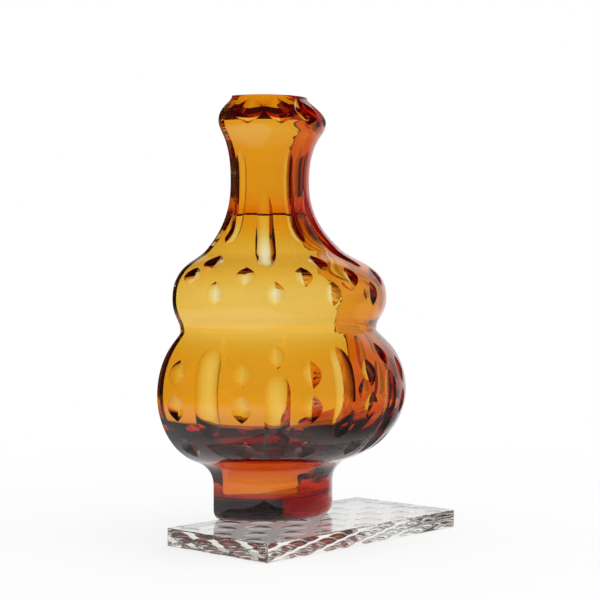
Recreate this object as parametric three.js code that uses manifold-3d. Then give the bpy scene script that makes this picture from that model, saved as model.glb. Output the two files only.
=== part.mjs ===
// Cut-glass wall vase: half of a turned vase, closed at the back by a flat pane, on a clear glass plate.
// Millimetres, +Z up. The wall is behind the part at +Y, and the round front looks towards -Y.

import * as THREE from 'three';
import * as BufferGeometryUtils from 'three/addons/utils/BufferGeometryUtils.js';
import Module from 'manifold-3d';

const wasm = await Module();
wasm.setup();

const rad = THREE.MathUtils.degToRad;

// Plate that the vase is bonded to
const plateLength = 200;
const plateDepth = 96;
const plateThickness = 12.5;
const plateShift = 4.4; // the vase stands this far left of the plate's middle
const plateCorner = 1.5;
const plateBevel = 0.6;

// Lens cuts ground into the underside of the plate, in staggered rows
const lensColumns = 10;
const lensRows = 6;
const lensBallRadius = 27;
const lensDepth = 2.1;

// Flat pane that closes the back
const paneThickness = 1.5;

// Outside of the vase: its radius at each station, and the rise to it from the station below
const footRadius = 50.7;
const footEdge = 6.7;
const footEdgeHeight = 8;
const footRise = 24;
const undersideRise = 18.6;
const undersideRadius = 67;
const undersideSlope = 2.9; // radius gained per millimetre of height
const lowerBulbRise = 48.4;
const lowerBulbRadius = 104.4;
const waistRise = 43.2;
const waistRadius = 82.7;
const upperBulbRise = 23.4;
const upperBulbRadius = 90.2;
const shoulderRise = 33.6;
const shoulderRadius = 58.2;
const shoulderSlope = 1.15; // radius lost per millimetre of height
const neckRise = 50.6;
const neckRadius = 33.7;
const collarRise = 42;
const collarRadius = 45.9;
const rimRise = 18.9;
const rimRadius = 32.3;

// How far the outline keeps to each station's direction, as a share of the way to its neighbour
const outsideEase = {
  foot: { after: 0.542 },
  underside: { before: 0.129, after: 0.487 },
  lowerBulb: { before: 0.234, after: 0.621 },
  waist: { before: 0.079, after: 0.37 },
  upperBulb: { before: 0.509, after: 0.5 },
  shoulder: { before: 0.252, after: 0.55 },
  neck: { before: 0.219, after: 0.716 },
  collar: { before: 0.183, after: 0.451 },
  rim: { before: 0.215 },
};

// Inside of the vase
const floorThickness = 15;
const floorEdge = 5; // rounding between the floor and the wall of the foot
const footWall = 12.2;
const footSpaceDrop = 2.6; // the foot's space begins to widen this far below the underside's station
const undersideWall = 18;
const cavityFloorSlope = 5; // radius gained per millimetre of height, over the underside
const lowerBulbWall = 7.3;
const waistWall = 4.5;
const upperBulbWall = 3.8;
const shoulderWall = 5.2;
const neckWall = 8.1;
const ledgeDrop = 26.5; // from the neck's station down to the ledge
const ledgeWidth = 4;
const ledgeRise = 1.2;
const ledgeSlope = 0.35; // radius lost per millimetre of height, just under the ledge
const collarWall = 6.9;
const ceilingRise = 0.4; // from the collar's station up to the corner over the space in the collar
const flareSlope = 0.1; // radius gained per millimetre of height, at that corner
const throatRise = 7.6; // from the collar's station up to the narrow end of that ceiling
const throatRadius = 28.5;
const mouthRadius = 22;
const insideEase = {
  foot: { after: 0.4 },
  underside: { before: 0.256, after: 0.5 },
  lowerBulb: { before: 0.35, after: 0.56 },
  waist: { before: 0.129, after: 0.365 },
  upperBulb: { before: 0.447, after: 0.445 },
  shoulder: { before: 0.245, after: 0.374 },
  ledge: { before: 0.267 },
  neck: { after: 0.5 },
  collar: { before: 0.35 },
};

// Mitre cuts: leaf shapes with a sharp valley, made by a wheel with a bevelled edge
const mitreWheelRadius = 50;
const mitreWheelWidth = 24;
const mitreHalfAngle = 74.5;
const bulbPitch = 27; // degrees between the columns of cuts on both bulbs
const leafColumns = 7;
const betweenColumns = leafColumns - 1; // columns that stand half a pitch aside, between the others
const upperRowOffset = 15.8; // from the upper bulb's station
const upperRowDepth = 2.1;
const lowerRowOffset = 3.7;
const lowerRowDepth = 2.1;
const columnRowOffsets = [-36.8, -7, 16.4]; // from the lower bulb's station
const columnRowDepth = 2.1;
const crestOffset = 28; // mitre cut above each short flute
const crestDepth = 2;
const shoulderCutOffset = -8.8; // mitre cut under each high flute, from the shoulder's station
const shoulderCutDepth = 2;

// Collar: wide mitre cuts that meet side by side
const collarPitch = 30;
const collarColumns = 5;
const collarCutOffset = 6.7; // from the collar's station
const collarCutDepth = 4.9;
const collarWheelRadius = 60;
const collarWheelWidth = 40;
const collarHalfAngle = 70.7;

// Flutes: round-bottomed grooves. Each stop is a height from the station and the depth there
const neckPitch = 29.5;
const neckColumns = 6;
const neckFluteRadius = 11;
const neckFluteEnds = [9, 0]; // lengths over which the bottom and the top run in round
const highFlute = [[-44.8, 2.6], [-34.8, 2.6], [-19.8, 1.1], [10.2, 0.9], [22.2, 0]];
const lowFlute = [[-61.8, 2.8], [-48.8, 2.8], [-33.8, 1.6], [-3.8, 0]];
const bulbFluteRadius = 14.5;
const bulbFluteEnds = [11, 11];
const longFlute = [[-25.8, 3.2], [32, 3.2]];
const shortFlute = [[-42.5, 3.2], [14.5, 3.2]];

// Clearances of the cutting shapes
const overrun = 1; // cutting shapes run this far past the glass
const runOut = 0.1; // and the ends of the flutes this far

// Facets
const roundSegments = 60;
const boreSegments = 36;
const spanSteps = 7;
const cavitySteps = 4;
const mitreSegments = 72;
const fluteSides = 28;
const fluteSteps = 10;
const fineSteps = 40;
const cornerSegments = 3;
const lensSegments = 14;
const lensRings = 2;
const creaseAngle = 10; // edges that turn by more than this are drawn crisp

// Colours and finishes
const amberGlass = new THREE.MeshStandardMaterial({
  color: 0xd98a14, roughness: 0.05, metalness: 0, transparent: true, opacity: 0.75,
});
const paneGlass = new THREE.MeshStandardMaterial({
  color: 0xeaeced, roughness: 0.03, metalness: 0, transparent: true, opacity: 0.35,
});
const clearGlass = new THREE.MeshStandardMaterial({
  color: 0xe6e9ea, roughness: 0.03, metalness: 0, transparent: true, opacity: 0.45,
});

// A closed geometry as a solid, its doubled vertices and collapsed faces removed
function solid(geometry) {
  const bare = geometry.index ? geometry.toNonIndexed() : geometry.clone();
  bare.deleteAttribute('normal');
  bare.deleteAttribute('uv');
  const merged = BufferGeometryUtils.mergeVertices(bare, 1e-4);
  const corners = merged.index.array;
  const faces = [];
  for (let i = 0; i < corners.length; i += 3) {
    const [a, b, c] = [corners[i], corners[i + 1], corners[i + 2]];
    if (a !== b && b !== c && c !== a) {
      faces.push(a, b, c);
    }
  }
  return new wasm.Manifold(new wasm.Mesh({
    numProp: 3,
    vertProperties: new Float32Array(merged.attributes.position.array),
    triVerts: new Uint32Array(faces),
  }));
}

function piece(name, shape, material) {
  const { vertProperties, triVerts } = shape.getMesh();
  const geometry = new THREE.BufferGeometry();
  geometry.setAttribute('position', new THREE.BufferAttribute(new Float32Array(vertProperties), 3));
  geometry.setIndex(new THREE.BufferAttribute(new Uint32Array(triVerts), 1));
  const mesh = new THREE.Mesh(BufferGeometryUtils.toCreasedNormals(geometry, rad(creaseAngle)), material);
  mesh.name = name;
  return mesh;
}

// A point of an outline with its direction of travel
function station(radius, height, gainPerHeight = 0) {
  const way = new THREE.Vector2(gainPerHeight, 1).normalize();
  return { point: new THREE.Vector2(radius, height), way };
}

// The station of the inside that lies one wall's thickness behind a station of the outside
function behind(outer, wall) {
  const inward = new THREE.Vector2(-outer.way.y, outer.way.x);
  return { point: outer.point.clone().addScaledVector(inward, wall), way: outer.way };
}

// A smooth span of an outline between two stations
function span(from, leave, to, arrive) {
  const reach = from.point.distanceTo(to.point);
  return new THREE.CubicBezierCurve(
    from.point,
    from.point.clone().addScaledVector(from.way, leave.after * reach),
    to.point.clone().addScaledVector(to.way, -arrive.before * reach),
    to.point,
  );
}

// A quarter of an ellipse that turns from level to upright and ends at a point
function roundedEdge(end, width, height) {
  return new THREE.EllipseCurve(end.x - width, end.y, width, height, -Math.PI / 2, 0);
}

// Samples the spans from the foot up to the rim
function trace(spans, steps) {
  const points = [];
  for (const curve of spans) {
    const stretch = curve.getPoints(curve.isLineCurve ? 1 : steps);
    points.push(...stretch.slice(points.length ? 1 : 0));
  }
  return points;
}

// The next station of the outside, at a rise above the last one
function stationOver(last, rise, radius, gainPerHeight) {
  return station(radius, last.point.y + rise, gainPerHeight);
}

const foot = station(footRadius, footRise);
const underside = stationOver(foot, undersideRise, undersideRadius, undersideSlope);
const lowerBulb = stationOver(underside, lowerBulbRise, lowerBulbRadius);
const waist = stationOver(lowerBulb, waistRise, waistRadius);
const upperBulb = stationOver(waist, upperBulbRise, upperBulbRadius);
const shoulder = stationOver(upperBulb, shoulderRise, shoulderRadius, -shoulderSlope);
const neck = stationOver(shoulder, neckRise, neckRadius);
const collar = stationOver(neck, collarRise, collarRadius);
const rim = stationOver(collar, rimRise, rimRadius);

function outsideSpans() {
  const edge = new THREE.Vector2(footRadius, footEdgeHeight);
  const ease = outsideEase;
  return [
    roundedEdge(edge, footEdge, footEdgeHeight),
    new THREE.LineCurve(edge, foot.point),
    span(foot, ease.foot, underside, ease.underside),
    span(underside, ease.underside, lowerBulb, ease.lowerBulb),
    span(lowerBulb, ease.lowerBulb, waist, ease.waist),
    span(waist, ease.waist, upperBulb, ease.upperBulb),
    span(upperBulb, ease.upperBulb, shoulder, ease.shoulder),
    span(shoulder, ease.shoulder, neck, ease.neck),
    span(neck, ease.neck, collar, ease.collar),
    span(collar, ease.collar, rim, ease.rim),
  ];
}

const outside = trace(outsideSpans(), spanSteps);
const fineOutside = trace(outsideSpans(), fineSteps);

// The outside's radius at a height, and the way that its surface faces there
function surfaceAt(height) {
  let i = 1;
  while (i < fineOutside.length - 1 && fineOutside[i].y < height) {
    i += 1;
  }
  const [low, high] = [fineOutside[i - 1], fineOutside[i]];
  const share = THREE.MathUtils.clamp((height - low.y) / (high.y - low.y), 0, 1);
  const along = high.clone().sub(low).normalize();
  return { point: low.clone().lerp(high, share), facing: new THREE.Vector2(along.y, -along.x) };
}

function insideSpans() {
  const ease = insideEase;
  const footBore = footRadius - footWall;
  const footEdgeTop = new THREE.Vector2(footBore, floorThickness + floorEdge);
  const innerFoot = station(footBore, underside.point.y - footSpaceDrop);
  const cavityFloor = behind(underside, undersideWall).point;
  const innerUnderside = station(cavityFloor.x, cavityFloor.y, cavityFloorSlope);
  const innerLower = behind(lowerBulb, lowerBulbWall);
  const innerWaist = behind(waist, waistWall);
  const innerUpper = behind(upperBulb, upperBulbWall);
  const innerShoulder = behind(shoulder, shoulderWall);
  const innerNeck = behind(neck, neckWall);
  const bore = innerNeck.point.x;
  const underLedge = station(bore + ledgeWidth, neck.point.y - ledgeDrop, -ledgeSlope);
  const overLedge = new THREE.Vector2(bore, underLedge.point.y + ledgeRise);
  const corner = station(collarRadius - collarWall, collar.point.y + ceilingRise, flareSlope);
  const throat = new THREE.Vector2(throatRadius, collar.point.y + throatRise);
  const mouth = new THREE.Vector2(mouthRadius, rim.point.y);
  const pastMouth = mouth.clone().add(mouth.clone().sub(throat).setLength(overrun));
  return [
    roundedEdge(footEdgeTop, floorEdge, floorEdge),
    new THREE.LineCurve(footEdgeTop, innerFoot.point),
    span(innerFoot, ease.foot, innerUnderside, ease.underside),
    span(innerUnderside, ease.underside, innerLower, ease.lowerBulb),
    span(innerLower, ease.lowerBulb, innerWaist, ease.waist),
    span(innerWaist, ease.waist, innerUpper, ease.upperBulb),
    span(innerUpper, ease.upperBulb, innerShoulder, ease.shoulder),
    span(innerShoulder, ease.shoulder, underLedge, ease.ledge),
    new THREE.LineCurve(underLedge.point, overLedge),
    new THREE.LineCurve(overLedge, innerNeck.point),
    span(innerNeck, ease.neck, corner, ease.collar),
    new THREE.LineCurve(corner.point, throat),
    new THREE.LineCurve(throat, pastMouth),
  ];
}

// A profile turned about the vase's axis
function turned(profile, segments) {
  const closed = [...profile];
  if (closed[0].x > 0) {
    closed.unshift(new THREE.Vector2(0, closed[0].y));
  }
  if (closed[closed.length - 1].x > 0) {
    closed.push(new THREE.Vector2(0, closed[closed.length - 1].y));
  }
  return solid(new THREE.LatheGeometry(closed, segments).rotateX(Math.PI / 2));
}

// A mitre wheel held against the surface: its valley runs up the vase, at an angle round from the front
function mitreCut(height, depth, angle, wheelRadius, wheelWidth, halfAngle) {
  const { point, facing } = surfaceAt(height);
  const side = wheelRadius - wheelWidth / 2 / Math.tan(rad(halfAngle));
  const profile = [
    new THREE.Vector2(0, -wheelWidth / 2),
    new THREE.Vector2(side, -wheelWidth / 2),
    new THREE.Vector2(wheelRadius, 0),
    new THREE.Vector2(side, wheelWidth / 2),
    new THREE.Vector2(0, wheelWidth / 2),
  ];
  const hub = point.clone().addScaledVector(facing, wheelRadius - depth);
  const wheel = new THREE.LatheGeometry(profile, mitreSegments).rotateZ(-Math.PI / 2);
  wheel.translate(0, -hub.x, hub.y).rotateZ(rad(angle));
  return solid(wheel);
}

function leafCut(height, depth, angle) {
  return mitreCut(height, depth, angle, mitreWheelRadius, mitreWheelWidth, mitreHalfAngle);
}

function collarCut(angle) {
  return mitreCut(
    collar.point.y + collarCutOffset, collarCutDepth, angle,
    collarWheelRadius, collarWheelWidth, collarHalfAngle,
  );
}

// Depth of a flute at a height: even changes between its stops, and round ends
function fluteDepthAt(height, stops, ends) {
  const i = Math.max(1, stops.findIndex(([top]) => height <= top));
  const [[low, before], [high, after]] = [stops[i - 1], stops[i]];
  let depth = THREE.MathUtils.mapLinear(height, low, high, before, after);
  const fromEnds = [height - stops[0][0], stops[stops.length - 1][0] - height];
  ends.forEach((length, end) => {
    if (fromEnds[end] < length) {
      depth *= 1 - (1 - fromEnds[end] / length) ** 2;
    }
  });
  return depth;
}

// A round-nosed groove that follows the surface up the vase and leaves the glass at its ends
function fluteCut(base, stops, ends, radius, angle) {
  const path = [];
  for (let i = 0; i <= fluteSteps; i += 1) {
    const height = THREE.MathUtils.lerp(stops[0][0], stops[stops.length - 1][0], i / fluteSteps);
    const { point, facing } = surfaceAt(base.point.y + height);
    const lift = radius + runOut - fluteDepthAt(height, stops, ends);
    const spot = point.clone().addScaledVector(facing, lift);
    path.push(new THREE.Vector3(0, -spot.x, spot.y));
  }
  const section = new THREE.Shape();
  section.absarc(0, 0, radius, 0, 2 * Math.PI);
  const groove = new THREE.ExtrudeGeometry(section, {
    steps: fluteSteps,
    curveSegments: fluteSides / 2,
    extrudePath: new THREE.CatmullRomCurve3(path),
  });
  return solid(groove.rotateZ(rad(angle)));
}

// Angles of evenly pitched columns, counted both ways from the front
function columns(pitch, count) {
  return Array.from({ length: count }, (_, i) => (i - (count - 1) / 2) * pitch);
}

function collarCuts() {
  return columns(collarPitch, collarColumns).map(collarCut);
}

function neckCuts() {
  return columns(neckPitch, neckColumns).flatMap((angle, i) => {
    if (i % 2) {
      return [fluteCut(neck, lowFlute, neckFluteEnds, neckFluteRadius, angle)];
    }
    return [
      fluteCut(neck, highFlute, neckFluteEnds, neckFluteRadius, angle),
      leafCut(shoulder.point.y + shoulderCutOffset, shoulderCutDepth, angle),
    ];
  });
}

function upperBulbCuts() {
  const upperRow = upperBulb.point.y + upperRowOffset;
  const lowerRow = upperBulb.point.y + lowerRowOffset;
  return [
    ...columns(bulbPitch, leafColumns).map((angle) => leafCut(upperRow, upperRowDepth, angle)),
    ...columns(bulbPitch, betweenColumns).map((angle) => leafCut(lowerRow, lowerRowDepth, angle)),
  ];
}

function lowerBulbCuts() {
  const leaves = columns(bulbPitch, leafColumns).flatMap((angle) => (
    columnRowOffsets.map((offset) => leafCut(lowerBulb.point.y + offset, columnRowDepth, angle))
  ));
  const flutes = columns(bulbPitch, betweenColumns).flatMap((angle, i) => {
    if (i % 2) {
      return [
        fluteCut(lowerBulb, shortFlute, bulbFluteEnds, bulbFluteRadius, angle),
        leafCut(lowerBulb.point.y + crestOffset, crestDepth, angle),
      ];
    }
    return [fluteCut(lowerBulb, longFlute, bulbFluteEnds, bulbFluteRadius, angle)];
  });
  return [...leaves, ...flutes];
}

// The space in front of the pane, where the round shell lies
function frontSpace() {
  const reach = 2 * lowerBulbRadius;
  const block = new THREE.BoxGeometry(2 * reach, reach, 2 * rim.point.y);
  return solid(block.translate(0, -paneThickness - reach / 2, rim.point.y / 2));
}

function vaseShell() {
  let shell = turned(outside, roundSegments).intersect(frontSpace());
  for (const cut of [...collarCuts(), ...neckCuts(), ...upperBulbCuts(), ...lowerBulbCuts()]) {
    shell = shell.subtract(cut);
  }
  return shell.subtract(turned(trace(insideSpans(), cavitySteps), boreSegments));
}

function backPane() {
  const edge = outside.map((point) => point.clone());
  const mirrored = outside.map((point) => new THREE.Vector2(-point.x, point.y)).reverse();
  const pane = new THREE.ExtrudeGeometry(new THREE.Shape([...edge, ...mirrored]), {
    depth: paneThickness,
    bevelEnabled: false,
  });
  return solid(pane.rotateX(Math.PI / 2));
}

// A shallow cap of a ball, ground into the underside of the plate
function lensCut(x, y) {
  const level = lensBallRadius - lensDepth;
  const opening = Math.acos(level / lensBallRadius);
  const lip = lensBallRadius * Math.sin(opening);
  const profile = [new THREE.Vector2(0, -overrun), new THREE.Vector2(lip, -overrun)];
  for (let i = lensRings; i > 0; i -= 1) {
    const tilt = opening * (i / lensRings);
    profile.push(new THREE.Vector2(
      lensBallRadius * Math.sin(tilt),
      lensBallRadius * Math.cos(tilt) - level,
    ));
  }
  profile.push(new THREE.Vector2(0, lensDepth));
  const tool = new THREE.LatheGeometry(profile, lensSegments).rotateX(Math.PI / 2);
  return solid(tool.translate(x, y, 0));
}

function basePlate() {
  const [halfLength, back, front] = [plateLength / 2 - plateBevel, -plateBevel, plateBevel - plateDepth];
  const c = plateCorner - plateBevel;
  const outline = new THREE.Shape();
  outline.absarc(halfLength - c, back - c, c, 0, Math.PI / 2);
  outline.absarc(c - halfLength, back - c, c, Math.PI / 2, Math.PI);
  outline.absarc(c - halfLength, front + c, c, Math.PI, 1.5 * Math.PI);
  outline.absarc(halfLength - c, front + c, c, 1.5 * Math.PI, 2 * Math.PI);
  const slab = new THREE.ExtrudeGeometry(outline, {
    depth: plateThickness - 2 * plateBevel,
    curveSegments: cornerSegments,
    bevelThickness: plateBevel,
    bevelSize: plateBevel,
    bevelSegments: 1,
  });
  let plate = solid(slab.translate(0, 0, plateBevel));
  const [stepX, stepY] = [plateLength / lensColumns, plateDepth / lensRows];
  for (let column = 0; column < lensColumns; column += 1) {
    for (let row = column % 2; row < lensRows; row += 2) {
      const x = (column + 0.5) * stepX - plateLength / 2;
      plate = plate.subtract(lensCut(x, -(row + 0.5) * stepY));
    }
  }
  return plate;
}

const wallVase = new THREE.Group();

// The wall side of the part lies half of its depth behind the origin
const wallSide = new THREE.Group();
wallSide.position.set(0, Math.max(lowerBulbRadius, plateDepth) / 2, 0);
wallVase.add(wallSide);

const plate = piece('base_plate', basePlate(), clearGlass);
plate.position.set(plateShift, 0, 0);
wallSide.add(plate);

const vase = new THREE.Group();
vase.position.set(0, 0, plateThickness);
vase.add(piece('half_vase_shell', vaseShell(), amberGlass));
vase.add(piece('back_pane', backPane(), paneGlass));
wallSide.add(vase);

export default wallVase;
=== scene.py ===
"""Cut-glass wall vase: an amber half vase with a flat back, on a clear glass plate.

The vase is turned, sawn in half and closed by a pane. A wheel has cut its mitres and flutes.
Sizes of the vase and the plate are in millimetres, and are put into the frame in metres at the
end. Sizes of the studio are in metres.
"""

import math

import bmesh
import bpy
from mathutils import Matrix, Vector, geometry, noise


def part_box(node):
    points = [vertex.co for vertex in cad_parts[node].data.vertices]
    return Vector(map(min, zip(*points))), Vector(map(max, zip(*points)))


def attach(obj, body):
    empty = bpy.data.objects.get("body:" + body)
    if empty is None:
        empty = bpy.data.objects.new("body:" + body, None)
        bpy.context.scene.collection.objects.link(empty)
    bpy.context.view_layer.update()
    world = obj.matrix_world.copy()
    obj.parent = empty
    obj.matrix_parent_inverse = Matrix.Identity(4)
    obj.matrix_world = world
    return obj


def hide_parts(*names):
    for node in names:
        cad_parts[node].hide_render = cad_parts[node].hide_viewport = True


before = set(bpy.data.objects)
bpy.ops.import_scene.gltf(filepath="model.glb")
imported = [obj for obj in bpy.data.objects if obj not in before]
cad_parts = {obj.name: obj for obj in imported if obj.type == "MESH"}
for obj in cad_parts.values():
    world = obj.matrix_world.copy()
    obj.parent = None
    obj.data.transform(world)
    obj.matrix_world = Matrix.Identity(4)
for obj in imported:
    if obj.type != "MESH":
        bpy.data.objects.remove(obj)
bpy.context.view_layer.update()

MM = 0.001
PANE_LOW, PANE_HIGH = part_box("back_pane")
AXIS_X = (PANE_LOW.x + PANE_HIGH.x) / 2
WALL_Y = PANE_HIGH.y
PLATE_LOW, PLATE_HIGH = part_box("base_plate")

# Outside of the vase: radius, height above the plate, radius gained per height there
FOOT_SOLE = 44.0
FOOT_EDGE = (50.7, 8.0)
OUTSIDE = [
    (50.7, 24.0, 0.0),  # top of the foot
    (67.0, 42.6, 2.9),  # underside of the lower bulb
    (104.4, 91.0, 0.0),  # lower bulb
    (82.7, 134.2, 0.0),  # waist
    (90.2, 157.6, 0.0),  # upper bulb
    (58.2, 191.2, -1.15),  # shoulder
    (33.7, 241.8, 0.0),  # neck
    (45.9, 283.8, 0.0),  # collar
    (32.3, 302.7, 0.0),  # rim
]
# How far the outline keeps to each direction, as shares of the way between two stations
OUTSIDE_EASE = [
    (0.542, 0.129), (0.487, 0.234), (0.621, 0.079), (0.37, 0.509),
    (0.5, 0.252), (0.55, 0.219), (0.716, 0.183), (0.451, 0.215),
]

# Inside of the vase, the same way, up to a ledge where the neck gets its thicker wall
FLOOR = 15.0  # height of the glass under the space in the foot
FLOOR_EDGE = 5.0  # radius of the round corner there
INSIDE = [
    (38.5, 40.0, 0.0),
    (62.0, 60.0, 5.0),
    (97.1, 91.0, 0.0),
    (78.2, 134.2, 0.0),
    (86.4, 157.6, 0.0),
    (54.8, 188.0, -1.15),
    (30.2, 215.3, -0.35),
]
INSIDE_EASE = [
    (0.4, 0.256), (0.5, 0.35), (0.56, 0.129), (0.365, 0.447), (0.445, 0.245), (0.374, 0.267),
]
LEDGE = (25.6, 216.5)
NECK_INSIDE = [
    (25.6, 241.8, 0.0),
    (39.0, 284.2, 0.1),  # corner over the space in the collar
]
NECK_INSIDE_EASE = [(0.7, 0.2)]
MOUTH = [(28.5, 291.4), (21.4, 303.7)]  # its throat, and a little above the rim

PANE = 1.5
BOND = 0.05  # the pane and the foot reach this far into what they are bonded to

# Mitre cuts: wheel radius, wheel width, half the angle of its rim
LEAF_WHEEL = (30.0, 24.0, 69.5)
COLLAR_WHEEL = (60.0, 40.0, 70.7)
BULB_PITCH = 27.0  # degrees between two columns of cuts
NECK_PITCH = 29.5
COLLAR_PITCH = 30.0
BETWEEN_COLUMNS = 6  # columns of flutes, between the columns of leaves
NECK_COLUMNS = 6
COLLAR_COLUMNS = 5
LEAF_ROWS = [  # height, depth, columns
    (173.4, 2.7, 7), (161.3, 2.7, 6), (107.4, 2.8, 7), (84.0, 2.8, 7), (54.2, 2.8, 7),
]
CREST = (119.0, 2.5)  # the leaf above each short flute, height and depth
SHOULDER_LEAF = (182.4, 2.7)  # the leaf under each high flute
COLLAR_CUT = (290.5, 4.9)

# Flutes: radius of the groove, how far its ends run in, and its depth at heights from the bottom up
HIGH_FLUTE = (6.5, (9.0, 0.0), [(197.0, 3.4), (207.0, 3.3), (222.0, 1.9), (252.0, 1.7), (264.0, 0.0)])
LOW_FLUTE = (9.0, (9.0, 0.0), [(180.0, 3.8), (195.0, 3.8), (213.0, 2.6), (238.0, 0.0)])
LONG_FLUTE = (14.5, (11.0, 11.0), [(65.2, 3.2), (123.0, 3.2)])
SHORT_FLUTE = (14.5, (11.0, 11.0), [(48.5, 3.2), (105.5, 3.2)])

# The right inner sawn edge is uneven: it is chipped, and the bond has run out over it
EDGE_SPAN = (70.0, 283.0)  # heights between which it is uneven
EDGE_SWING = 5.5  # how far a noise of 1 would move it
EDGE_WAVE = 3.5  # height over which the noise changes
EDGE_NEAR = 0.3  # how near a point of the mesh is to the edge that it belongs to
EDGE_SEED = 7.3

# Lens cuts in the underside of the plate
LENS_COLUMNS = 10
LENS_ROWS = 6
LENS_BALL = 20.0
LENS_DEPTH = 2.6
LENS_BELOW = 1.0  # how far the cutting body reaches under the plate
PLATE_CORNER = 1.5
PLATE_BEVEL = 0.6

# Smoothness of the meshes
ROUND_STEPS = 256
SPAN_STEPS = 24
FINE_STEPS = 60
QUARTER_STEPS = 16
WHEEL_STEPS = 192
FLUTE_SIDES = 128
FLUTE_STEPS = 48
FLUTE_LIFT = 0.02  # keeps the ends of a flute just off the surface
LENS_RINGS = 10
LENS_SIDES = 64
CORNER_SEGMENTS = 6
BEVEL_SEGMENTS = 2
LEVEL_FACE = 0.9  # upward part of the normal above which a face of the plate counts as level
SHARP_ANGLE = math.radians(7.5)
SAME_PLACE = 1e-4  # points nearer than this are merged
ON_PLANE = 1e-5


def outline(stations, eases, steps):
    """Points of a smooth outline through stations, each a radius, a height and a slope."""
    points = []
    for (start, end), (leave, arrive) in zip(zip(stations, stations[1:]), eases):
        knots = [Vector(s[:2]) for s in (start, end)]
        ways = [Vector((s[2], 1.0)).normalized() for s in (start, end)]
        reach = (knots[1] - knots[0]).length
        curve = geometry.interpolate_bezier(
            knots[0], knots[0] + ways[0] * leave * reach,
            knots[1] - ways[1] * arrive * reach, knots[1], steps + 1)
        points += [Vector(p[:2]) for p in curve[1 if points else 0:]]
    return points


def quarter(end, width, height):
    """Points of a rounded edge that turns from level to upright and stops short of its end."""
    turns = [math.pi / 2 * i / QUARTER_STEPS for i in range(QUARTER_STEPS)]
    return [Vector((end[0] - width * (1 - math.sin(t)), end[1] - height * math.cos(t))) for t in turns]


def outside_points(steps=SPAN_STEPS):
    sole = Vector((FOOT_SOLE, -BOND))
    rounded = quarter(FOOT_EDGE, FOOT_EDGE[0] - FOOT_SOLE, FOOT_EDGE[1])
    return [sole, *rounded, Vector(FOOT_EDGE), *outline(OUTSIDE, OUTSIDE_EASE, steps)]


def inside_points():
    foot = INSIDE[0][0]
    rounded = quarter((foot, FLOOR + FLOOR_EDGE), FLOOR_EDGE, FLOOR_EDGE)
    bulbs = outline(INSIDE, INSIDE_EASE, SPAN_STEPS)
    neck = outline(NECK_INSIDE, NECK_INSIDE_EASE, SPAN_STEPS)
    mouth = [Vector(corner) for corner in MOUTH]
    return rounded + [Vector((foot, FLOOR + FLOOR_EDGE))] + bulbs + [Vector(LEDGE)] + neck + mouth


FINE_OUTSIDE = outside_points(FINE_STEPS)
INNER_LINE = inside_points()


def surface_at(height, line=FINE_OUTSIDE):
    """The point of an outline at a height and the way that its surface faces there."""
    for low, high in zip(line, line[1:]):
        if high.y >= height:
            break
    share = (height - low.y) / (high.y - low.y)
    along = (high - low).normalized()
    return low.lerp(high, share), Vector((along.y, -along.x))


def turned(points, steps):
    """A closed body turned about Z from an outline whose ends are joined to the axis."""
    bm = bmesh.new()
    ends = [Vector((0.0, points[0].y)), Vector((0.0, points[-1].y))]
    line = [bm.verts.new((p.x, 0.0, p.y)) for p in [ends[0], *points, ends[1]]]
    for a, b in zip(line, line[1:]):
        bm.edges.new((a, b))
    bmesh.ops.spin(bm, geom=bm.verts[:] + bm.edges[:], axis=(0, 0, 1), cent=(0, 0, 0),
                   angle=math.tau, steps=steps, use_merge=True)
    bmesh.ops.remove_doubles(bm, verts=bm.verts[:], dist=SAME_PLACE)
    bmesh.ops.recalc_face_normals(bm, faces=bm.faces[:])
    return bm


def wheel(radius, width, half_angle, height, depth, angle):
    """A mitre wheel held against the vase at a height, turned round from the front."""
    side = radius - width / 2 / math.tan(math.radians(half_angle))
    rim = [Vector((side, -width / 2)), Vector((radius, 0.0)), Vector((side, width / 2))]
    bm = turned(rim, WHEEL_STEPS)
    point, facing = surface_at(height)
    hub = point + facing * (radius - depth)
    place = (Matrix.Rotation(math.radians(angle), 4, "Z") @ Matrix.Translation((0, -hub.x, hub.y))
             @ Matrix.Rotation(math.pi / 2, 4, "Y"))
    bmesh.ops.transform(bm, matrix=place, verts=bm.verts[:])
    return bm


def swept(places, sides):
    """A closed body with a round section that stands at each place in turn."""
    bm = bmesh.new()
    bmesh.ops.create_circle(bm, cap_ends=False, segments=sides, radius=1.0, matrix=places[0])
    ring = bm.edges[:]
    for last, place in zip(places, places[1:]):
        made = bmesh.ops.extrude_edge_only(bm, edges=ring)["geom"]
        verts = {g for g in made if isinstance(g, bmesh.types.BMVert)}
        ring = [g for g in made if isinstance(g, bmesh.types.BMEdge) and set(g.verts) <= verts]
        bmesh.ops.transform(bm, matrix=place @ last.inverted(), verts=list(verts))
    bmesh.ops.holes_fill(bm, edges=bm.edges[:])
    bmesh.ops.recalc_face_normals(bm, faces=bm.faces[:])
    return bm


def flute_depth(runs, stops, height):
    """Depth of a flute at a height: it fades between its stops and runs in round at its ends."""
    low, high = next((pair for pair in zip(stops, stops[1:]) if height <= pair[1][0]), stops[-2:])
    share = (height - low[0]) / (high[0] - low[0])
    depth = low[1] + (high[1] - low[1]) * share * share * (3 - 2 * share)
    for run, way in zip(runs, (height - stops[0][0], stops[-1][0] - height)):
        if way < run:
            depth *= 1 - (1 - way / run) ** 2
    return depth


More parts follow.
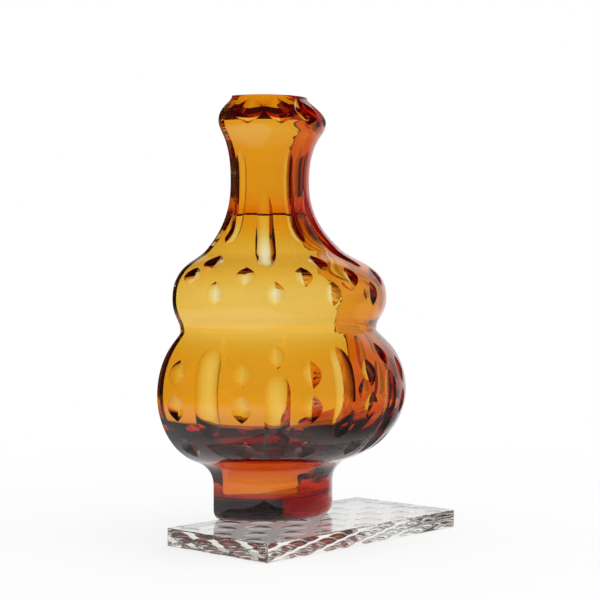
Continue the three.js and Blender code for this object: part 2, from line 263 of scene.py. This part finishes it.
def flute(radius, runs, stops, angle):
    """A round-nosed groove that follows the surface up the vase."""
    line = []
    for i in range(FLUTE_STEPS + 1):
        height = stops[0][0] + (stops[-1][0] - stops[0][0]) * i / FLUTE_STEPS
        point, facing = surface_at(height)
        spot = point + facing * (radius - flute_depth(runs, stops, height) + FLUTE_LIFT)
        line.append(Vector((0.0, -spot.x, spot.y)))
    ways = [(b - a).normalized() for a, b in zip(line, line[1:])]
    ways = [ways[0], *((a + b).normalized() for a, b in zip(ways, ways[1:])), ways[-1]]
    turn = Matrix.Rotation(math.radians(angle), 4, "Z")
    return swept([turn @ Matrix.Translation(spot) @ Matrix.Rotation(math.atan2(-way.y, way.z), 4, "X")
                  @ Matrix.Scale(radius, 4) for spot, way in zip(line, ways)], FLUTE_SIDES)


def columns(pitch, count):
    """Angles of evenly pitched columns, counted both ways from the front."""
    return [(i - (count - 1) / 2) * pitch for i in range(count)]


def all_cuts():
    """Groups of cutting bodies. The bodies of one group don't touch each other."""
    groups = []
    for height, depth, count in LEAF_ROWS:
        groups.append([wheel(*LEAF_WHEEL, height, depth, a) for a in columns(BULB_PITCH, count)])
    between = columns(BULB_PITCH, BETWEEN_COLUMNS)
    groups.append([flute(*(SHORT_FLUTE if i % 2 else LONG_FLUTE), a) for i, a in enumerate(between)])
    groups.append([wheel(*LEAF_WHEEL, *CREST, a) for a in between[1::2]])
    neck = columns(NECK_PITCH, NECK_COLUMNS)
    groups.append([flute(*(LOW_FLUTE if i % 2 else HIGH_FLUTE), a) for i, a in enumerate(neck)])
    groups.append([wheel(*LEAF_WHEEL, *SHOULDER_LEAF, a) for a in neck[0::2]])
    groups += [[wheel(*COLLAR_WHEEL, *COLLAR_CUT, a)] for a in columns(COLLAR_PITCH, COLLAR_COLUMNS)]
    return groups


def as_object(name, bm):
    mesh = bpy.data.meshes.new(name)
    bm.to_mesh(mesh)
    bm.free()
    piece = bpy.data.objects.new(name, mesh)
    bpy.context.scene.collection.objects.link(piece)
    return piece


def joined(bodies):
    """Several bodies in one bmesh."""
    whole = bmesh.new()
    for bm in bodies:
        part = bpy.data.meshes.new("part")
        bm.to_mesh(part)
        bm.free()
        whole.from_mesh(part)
        bpy.data.meshes.remove(part)
    return whole


def carved(bm, groups):
    """The body with every group of cutting bodies taken out of it."""
    blank = as_object("blank", bm)
    tools = [as_object("tool", joined(bodies)) for bodies in groups]
    for tool in tools:
        cut = blank.modifiers.new("cut", "BOOLEAN")
        cut.operation, cut.solver, cut.object = "DIFFERENCE", "MANIFOLD", tool
    shape = blank.evaluated_get(bpy.context.evaluated_depsgraph_get())
    result = bmesh.new()
    result.from_mesh(shape.to_mesh())
    shape.to_mesh_clear()
    for scrap in [blank, *tools]:
        mesh = scrap.data
        bpy.data.objects.remove(scrap)
        bpy.data.meshes.remove(mesh)
    return result


def finished(name, bm, material, node):
    """Puts a body into the frame in metres, with smooth faces and crisp cut edges."""
    bmesh.ops.remove_doubles(bm, verts=bm.verts[:], dist=SAME_PLACE)
    bmesh.ops.scale(bm, vec=(MM, MM, MM), verts=bm.verts[:])
    bmesh.ops.translate(bm, vec=(AXIS_X, WALL_Y, PLATE_HIGH.z), verts=bm.verts[:])
    piece = as_object(name, bm)
    piece.data.shade_smooth()
    piece.data.set_sharp_from_angle(angle=SHARP_ANGLE)
    piece.data.materials.append(material)
    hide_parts(node)
    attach(piece, "root")
    return piece


def sawn(bm, y, way):
    """Saws a body parallel to the wall, drops what lies behind (1) or in front (-1), closes the cut."""
    made = bmesh.ops.bisect_plane(bm, geom=bm.verts[:] + bm.edges[:] + bm.faces[:], dist=ON_PLANE,
                                  plane_co=(0, y, 0), plane_no=(0, way, 0), clear_outer=True)
    edges = [g for g in made["geom_cut"] if isinstance(g, bmesh.types.BMEdge)]
    bmesh.ops.triangle_fill(bm, edges=edges, use_beauty=True, use_dissolve=False)
    return bm


def uneven(bm):
    """Moves the right sawn edge of the inside in and out by small uneven steps."""
    for vert in bm.verts:
        spot = vert.co
        if abs(spot.y + PANE) > EDGE_NEAR or not EDGE_SPAN[0] < spot.z < EDGE_SPAN[1]:
            continue
        point, _ = surface_at(spot.z, INNER_LINE)
        if abs(spot.x - point.x) < EDGE_NEAR:
            spot.x += EDGE_SWING * noise.noise(Vector((EDGE_SEED, spot.z / EDGE_WAVE, 0.0)))
    return bm


def vase_shell(material):
    body = turned(outside_points(), ROUND_STEPS)
    shell = carved(body, [*all_cuts(), [turned(INNER_LINE, ROUND_STEPS)]])
    front = uneven(sawn(shell, -PANE, 1))
    return finished("half_vase", front, material, "half_vase_shell")


def back_pane(material):
    """The pane: the vase's outline between the wall and the bond with the shell."""
    bm = turned(outside_points(), ROUND_STEPS)
    for y, way in ((0.0, 1), (-PANE - BOND, -1)):
        sawn(bm, y, way)
        bmesh.ops.recalc_face_normals(bm, faces=bm.faces[:])
    return finished("flat_back", bm, material, "back_pane")


def lens_cut(x, y, low):
    """The cap of a ball that reaches up into the plate from its underside."""
    level = LENS_BALL - LENS_DEPTH
    widest = math.acos((level - LENS_BELOW) / LENS_BALL)
    cap = [Vector((LENS_BALL * math.sin(t), LENS_BALL * math.cos(t)))
           for t in (widest * (1 - i / LENS_RINGS) for i in range(LENS_RINGS))]
    bm = turned([*cap, Vector((0.0, LENS_BALL))], LENS_SIDES)
    bmesh.ops.translate(bm, vec=(x, y, low - level), verts=bm.verts[:])
    return bm


def plate(material):
    size = (PLATE_HIGH - PLATE_LOW) / MM
    middle = ((PLATE_HIGH + PLATE_LOW) / 2 - Vector((AXIS_X, WALL_Y, PLATE_HIGH.z))) / MM
    bm = bmesh.new()
    bmesh.ops.create_cube(bm, size=1.0, matrix=Matrix.Translation(middle) @ Matrix.Diagonal((*size, 1)))
    upright = [e for e in bm.edges if abs(e.verts[0].co.z - e.verts[1].co.z) > size.z / 2]
    bmesh.ops.bevel(bm, geom=upright, offset=PLATE_CORNER, segments=CORNER_SEGMENTS, profile=0.5,
                    affect="EDGES", material=-1)
    level = [f for f in bm.faces if abs(f.normal.z) > LEVEL_FACE]
    rims = list({e for f in level for e in f.edges})
    bmesh.ops.bevel(bm, geom=rims, offset=PLATE_BEVEL, segments=BEVEL_SEGMENTS, profile=0.5,
                    affect="EDGES", material=-1)
    low = middle - size / 2
    step_x, step_y = size.x / LENS_COLUMNS, size.y / LENS_ROWS
    cuts = []
    for column in range(LENS_COLUMNS):
        for row in range(column % 2, LENS_ROWS, 2):
            cuts.append(lens_cut(low.x + (column + 0.5) * step_x,
                                 low.y + size.y - (row + 0.5) * step_y, low.z))
    return finished("glass_plate", carved(bm, [cuts]), material, "base_plate")


class Socket:
    """A shader socket whose sums and products are written as Python expressions."""

    def __init__(self, net, link):
        self.net, self.link = net, link

    def _with(self, operation, *terms):
        return self.net.add("ShaderNodeMath", {"operation": operation}, dict(enumerate(terms)))

    def __add__(self, other):
        return self._with("ADD", self, other)

    def __rsub__(self, other):
        return self._with("SUBTRACT", other, self)

    def __mul__(self, other):
        return self._with("MULTIPLY", self, other)

    __radd__ = __add__
    __rmul__ = __mul__

    def ramped(self, low, high):
        """0 below low, 1 above high, with a smooth rise between."""
        return self.net.add("ShaderNodeMapRange", {"interpolation_type": "SMOOTHSTEP"},
                            {"Value": self, "From Min": low, "From Max": high})


class Net:
    """The node tree of one material or of the world."""

    def __init__(self, owner):
        owner.use_nodes = True
        self.tree = owner.node_tree
        self.tree.nodes.clear()

    def add(self, kind, settings=None, values=None, out=0):
        """One node. Its settings are set first, then the values or links of its sockets."""
        node = self.tree.nodes.new(kind)
        for name, value in (settings or {}).items():
            setattr(node, name, value)
        for name, value in (values or {}).items():
            if isinstance(value, Socket):
                self.tree.links.new(value.link, node.inputs[name])
            else:
                node.inputs[name].default_value = value
        return Socket(self, node.outputs[out]) if node.outputs else None


GLASS_IOR = 1.52
SWIRL_SCALE = 18.0  # slow waves left by the polishing, per metre
SWIRL_DETAIL = 2.0
SWIRL_STRENGTH = 0.05
SWIRL_HEIGHT = 0.001
HAZE_SCALE = 60.0  # faint patches of wear, per metre
HAZE_DETAIL = 3.0
HAZE_RISE = (0.55, 0.9)
MOST_ROUGH = 0.02
WORN_TINT = (0.99, 0.99, 0.99, 1)
WHITE = (1, 1, 1, 1)


def glass(name, absorbed, density):
    """Polished glass. Its colour comes from the way that light goes through it."""
    material = bpy.data.materials.new(name)
    net = Net(material)
    place = net.add("ShaderNodeTexCoord", out="Object")
    swirl = net.add("ShaderNodeTexNoise", None,
                    {"Vector": place, "Scale": SWIRL_SCALE, "Detail": SWIRL_DETAIL})
    haze = net.add("ShaderNodeTexNoise", None,
                   {"Vector": place, "Scale": HAZE_SCALE, "Detail": HAZE_DETAIL})
    tint = net.add("ShaderNodeMix", {"data_type": "RGBA"},
                   {"Factor": haze, "A": WORN_TINT, "B": WHITE}, out="Result")
    wave = net.add("ShaderNodeBump", None,
                   {"Height": swirl, "Strength": SWIRL_STRENGTH, "Distance": SWIRL_HEIGHT})
    surface = net.add("ShaderNodeBsdfPrincipled", None, {
        "Base Color": tint, "Roughness": haze.ramped(*HAZE_RISE) * MOST_ROUGH, "IOR": GLASS_IOR,
        "Transmission Weight": 1.0, "Normal": wave})
    inside = net.add("ShaderNodeVolumeAbsorption", None, {"Color": absorbed, "Density": density})
    net.add("ShaderNodeOutputMaterial", None, {"Surface": surface, "Volume": inside})
    return material


def light_colour(per_metre):
    """The absorption colour and density that give these losses of red, green and blue."""
    density = max(per_metre)
    return (*(1 - loss / density for loss in per_metre), 1), density


# Red, green and blue light lost to a metre of glass, as powers of e
AMBER_LOSS = (25.0, 138.0, 590.0)
CLEAR_LOSS = (1.0, 1.0, 1.3)

amber = glass("amber glass", *light_colour(AMBER_LOSS))
pane_glass = glass("clear pane glass", *light_colour(CLEAR_LOSS))
clear = glass("clear glass", *light_colour(CLEAR_LOSS))

vase_shell(amber)
back_pane(pane_glass)
plate(clear)

# Studio: white panels round the vase's wall side, a dim room in front, and white low down all round.
# A panel has its middle and half its width in degrees from +X, and its brightness.
PANELS = [(59.5, 35.5, 1.0), (12.0, 14.0, 0.45), (182.0, 24.0, 1.0)]
PANEL_EDGE = 6.0  # half the width of its soft edge
PANEL_TOP = (34.0, 42.0)  # where the white ends, degrees above the horizon
LOW_WHITE = (-12.5, -10.0)  # and where it goes all round
STEEP = (-60.0, -40.0)  # and where it ends below
DIM = (0.06, 0.035, 0.028)  # the warm dark of the rest of the room
# What the outside of the glass mirrors: the white behind, and a weaker light on the right.
# A sheen has its middle in degrees from +X, the cosines between which it rises, and its brightness.
SHEENS = [(47.0, (0.45, 1.0), 0.8), (-35.0, (0.3, 0.8), 0.18)]
SHEEN_LEAST = 0.05
UNDER = 0.15  # how bright the studio is far below
SOFT_LIGHT = 0.8  # and how bright for what scatters light, such as the paper
FLOOR_SIZE = 0.8
FLOOR_SIDES = 96
FLOOR_FADE = (0.25, 0.6)
FLOOR_GAP = 0.0002
PAPER = (0.93, 0.95)  # its darkest and its lightest
PAPER_GRAIN = 30.0
PAPER_GLOW = 0.7  # share of the paper that is plain white, which keeps the shadows on it soft
THROUGH_GLOW = 0.6  # and the share seen through glass
FRONT_PAINTED_SHEEN = 0.3  # painted reflection: how brightly the floor glows in front of the plate where the glass mirrors it
FRONT_WAY = (-0.5, 1.0, 0.0)
FRONT_FADE = (-0.13, -0.05)
SOFTBOX = ((0.3, -0.2, 1.6), 1.4, 8.0)  # its place, its width and its power in watts


def studio_world():
    world = bpy.data.worlds.new("studio")
    bpy.context.scene.world = world
    net = Net(world)
    way = net.add("ShaderNodeTexCoord", out="Generated")
    parts = net.add("ShaderNodeSeparateXYZ", None, {"Vector": way})
    x, y, z = (Socket(net, parts.link.node.outputs[i]) for i in range(3))
    level = net.add("ShaderNodeCombineXYZ", None, {"X": x, "Y": y, "Z": 0.0})
    flat = net.add("ShaderNodeVectorMath", {"operation": "NORMALIZE"}, {0: level})

    def above(low, high):
        return z.ramped(math.sin(math.radians(low)), math.sin(math.radians(high)))

    def towards(angle):
        a = math.radians(angle)
        return net.add("ShaderNodeVectorMath", {"operation": "DOT_PRODUCT"},
                       {0: flat, 1: (math.cos(a), math.sin(a), 0.0)}, out="Value")

    lit = 1 - above(*LOW_WHITE)
    for middle, reach, bright in PANELS:
        panel = towards(middle).ramped(math.cos(math.radians(reach + PANEL_EDGE)),
                                       math.cos(math.radians(reach - PANEL_EDGE)))
        lit = lit + panel * bright
    lit = net.add("ShaderNodeMath", {"operation": "MINIMUM"}, {0: lit, 1: 1.0})
    sheen = SHEEN_LEAST
    for middle, rise, bright in SHEENS:
        sheen = sheen + towards(middle).ramped(*rise) * bright
    faded = (1 - above(*PANEL_TOP)) * (UNDER + (1 - UNDER) * above(*STEEP))
    path = net.add("ShaderNodeLightPath")
    outputs = path.link.node.outputs
    camera = Socket(net, outputs["Is Camera Ray"])
    diffuse = Socket(net, outputs["Is Diffuse Ray"])
    mirror = Socket(net, outputs["Is Glossy Ray"]) * (1 - Socket(net, outputs["Is Transmission Ray"]))
    shown = (lit * (1 - mirror) + sheen * mirror) * faded
    colour = net.add("ShaderNodeMix", {"data_type": "RGBA"},
                     {"Factor": shown, "A": (*DIM, 1), "B": WHITE}, out="Result")
    plain = net.add("ShaderNodeBackground", None, {"Color": WHITE, "Strength": 1.0})
    room = net.add("ShaderNodeBackground", None, {"Color": colour, "Strength": 1.0})
    soft = net.add("ShaderNodeBackground", None, {"Color": WHITE, "Strength": SOFT_LIGHT})
    lighting = net.add("ShaderNodeMixShader", None, {0: diffuse, 1: room, 2: soft})
    seen = net.add("ShaderNodeMixShader", None, {0: camera, 1: lighting, 2: plain})
    net.add("ShaderNodeOutputWorld", None, {"Surface": seen})


def studio_floor():
    """Pale paper under the plate, which fades into the white of the studio. In the glass's reflections
    the paper glows white, a painted reflection that is painted dimmer in front of the plate.
    """
    material = bpy.data.materials.new("pale floor")
    net = Net(material)
    path = net.add("ShaderNodeLightPath")
    outputs = path.link.node.outputs
    through = Socket(net, outputs["Is Transmission Ray"])
    glowing = Socket(net, outputs["Is Camera Ray"]) * PAPER_GLOW + through * THROUGH_GLOW
    mirror = Socket(net, outputs["Is Glossy Ray"]) * (1 - through)
    place = net.add("ShaderNodeTexCoord", out="Object")
    depth = net.add("ShaderNodeVectorMath", {"operation": "DOT_PRODUCT"},
                    {0: place, 1: FRONT_WAY}, out="Value")
    # Painted reflection: rays mirrored off the glass see the paper glow white, painted dimmer towards
    # the front
    painted_mirror_glow = FRONT_PAINTED_SHEEN + (1 - FRONT_PAINTED_SHEEN) * depth.ramped(*FRONT_FADE)
    grain = net.add("ShaderNodeTexNoise", None, {"Vector": place, "Scale": PAPER_GRAIN})
    dark, light = ((shade, shade, shade, 1) for shade in PAPER)
    colour = net.add("ShaderNodeMix", {"data_type": "RGBA"},
                     {"Factor": grain, "A": dark, "B": light}, out="Result")
    paper = net.add("ShaderNodeBsdfDiffuse", None, {"Color": colour})
    glow = net.add("ShaderNodeEmission", None, {"Color": WHITE, "Strength": 1.0})
    mixed = net.add("ShaderNodeMixShader", None, {0: glowing, 1: paper, 2: glow})
    sheen = net.add("ShaderNodeEmission", None, {"Color": WHITE, "Strength": painted_mirror_glow})
    mixed = net.add("ShaderNodeMixShader", None, {0: mirror, 1: mixed, 2: sheen})
    gone = net.add("ShaderNodeBsdfTransparent")
    away = net.add("ShaderNodeVectorMath", {"operation": "LENGTH"}, {0: place}, out="Value")
    faded = net.add("ShaderNodeMixShader", None, {0: away.ramped(*FLOOR_FADE), 1: mixed, 2: gone})
    net.add("ShaderNodeOutputMaterial", None, {"Surface": faded})
    bm = bmesh.new()
    bmesh.ops.create_circle(bm, cap_ends=True, segments=FLOOR_SIDES, radius=FLOOR_SIZE,
                            matrix=Matrix.Translation((0, 0, -FLOOR_GAP)))
    floor = as_object("floor", bm)
    floor.data.materials.append(material)


def softbox(name, place, size, power):
    lamp = bpy.data.lights.new(name, "AREA")
    lamp.shape, lamp.size, lamp.energy = "DISK", size, power
    holder = bpy.data.objects.new(name, lamp)
    holder.location = place
    holder.rotation_euler = (-Vector(place)).to_track_quat("-Z", "Y").to_euler()
    holder.visible_glossy = holder.visible_transmission = False
    bpy.context.scene.collection.objects.link(holder)


# Camera: level, left of the front, with its horizon above the middle of the picture.
# The length of its lens and the places of the vase's axis and the horizon are in pixels.
FOCAL_PIXELS = 1584.0
PICTURE_PIXELS = 600.0
SENSOR = 36.0
VIEW_ANGLE = 47.17
DISTANCE = 1.1609
CAMERA_HEIGHT = 0.1919
AXIS_PIXEL = 263.35
HORIZON_PIXEL = 267.2
CLIP = (0.05, 50.0)


def camera():
    data = bpy.data.cameras.new("camera")
    data.sensor_width = SENSOR
    data.lens = SENSOR * FOCAL_PIXELS / PICTURE_PIXELS
    data.shift_y = (HORIZON_PIXEL - PICTURE_PIXELS / 2) / PICTURE_PIXELS
    a = math.radians(VIEW_ANGLE)
    forward = Vector((math.sin(a), math.cos(a), 0.0))
    right = Vector((math.cos(a), -math.sin(a), 0.0))
    side = (PICTURE_PIXELS / 2 - AXIS_PIXEL) / FOCAL_PIXELS * DISTANCE
    holder = bpy.data.objects.new("camera", data)
    holder.location = Vector((AXIS_X, WALL_Y, CAMERA_HEIGHT)) - forward * DISTANCE + right * side
    holder.rotation_euler = forward.to_track_quat("-Z", "Y").to_euler()
    data.clip_start, data.clip_end = CLIP
    bpy.context.scene.collection.objects.link(holder)
    bpy.context.scene.camera = holder


studio_world()
studio_floor()
softbox("overhead softbox", *SOFTBOX)
camera()

LIGHT_BOUNCES = 64  # light that the plate's faces keep inside needs many

scene = bpy.context.scene
scene.view_settings.view_transform = "Standard"
scene.cycles.max_bounces = LIGHT_BOUNCES
scene.cycles.transmission_bounces = LIGHT_BOUNCES
scene.cycles.glossy_bounces = LIGHT_BOUNCES
scene.cycles.blur_glossy = 0.0
